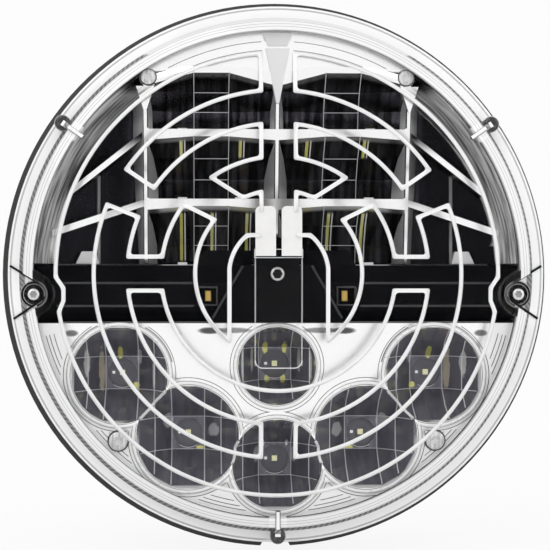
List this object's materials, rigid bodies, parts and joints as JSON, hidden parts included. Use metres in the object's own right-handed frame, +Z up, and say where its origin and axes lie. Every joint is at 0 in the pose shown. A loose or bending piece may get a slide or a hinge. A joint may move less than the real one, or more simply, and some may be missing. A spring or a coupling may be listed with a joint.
{
  "type": "round headlight",
  "caption": "Round vehicle headlight with a clear heated lens, stacked low beam bowls above a black band, faceted high beam cups below and a finned black housing.",
  "frame": {"origin": "centre of the flange's rear face, where the lamp seats in its bucket", "axes": "+Z up, lens faces -Y, spigot and inlet point to +Y, +X to the right seen from the front"},
  "size_m": [0.178, 0.097, 0.1779],
  "materials": {
    "clear_lens": "clear moulded plastic",
    "trace_silver": "printed silver",
    "terminal_white": "white moulded",
    "reflector_chrome": "vacuum metallised",
    "bezel_black": "gloss black",
    "housing_black": "black powder coat on die cast metal",
    "screw_steel": "plated",
    "board_white": "white solder mask",
    "board_black": "black solder mask",
    "board_green": "green solder mask",
    "chip_phosphor": "phosphor",
    "chip_amber": "amber",
    "spreader_metal": "milled",
    "thermal_grey": "soft pad",
    "seal_black": "cured bead",
    "contact_brass": "plated",
    "component_black": "moulded"
  },
  "bodies": {
    "root": {"outer_lens": "clear_lens", "lens_screws": "screw_steel", "lens_seal": "seal_black", "front_frame": "housing_black", "body_seal": "seal_black", "rear_body": "housing_black", "heater_circuit_outer": "trace_silver", "heater_circuit_inner": "trace_silver", "terminal_pad_left": "terminal_white", "terminal_pad_right": "terminal_white", "terminal_cover": "clear_lens", "upper_reflector": "reflector_chrome", "lower_reflector": "reflector_chrome", "reflector_screws": "screw_steel", "center_bezel": "bezel_black", "bezel_screw": "screw_steel", "upper_led_boards": "board_white", "upper_leds": "chip_phosphor", "lower_led_board": "board_black", "lower_leds": "chip_phosphor", "thermal_pad": "thermal_grey", "position_led_board": "board_white", "position_leds": "chip_amber", "heat_spreader": "spreader_metal", "spreader_screws": "screw_steel", "driver_board": "board_green", "driver_screws": "screw_steel", "driver_inductor": "component_black", "driver_capacitors": "component_black", "heater_contacts": "contact_brass", "connector_gasket": "seal_black", "connector_body": "component_black", "connector_blades": "contact_brass", "breather_vent": "component_black"}
  },
  "joints": []
}
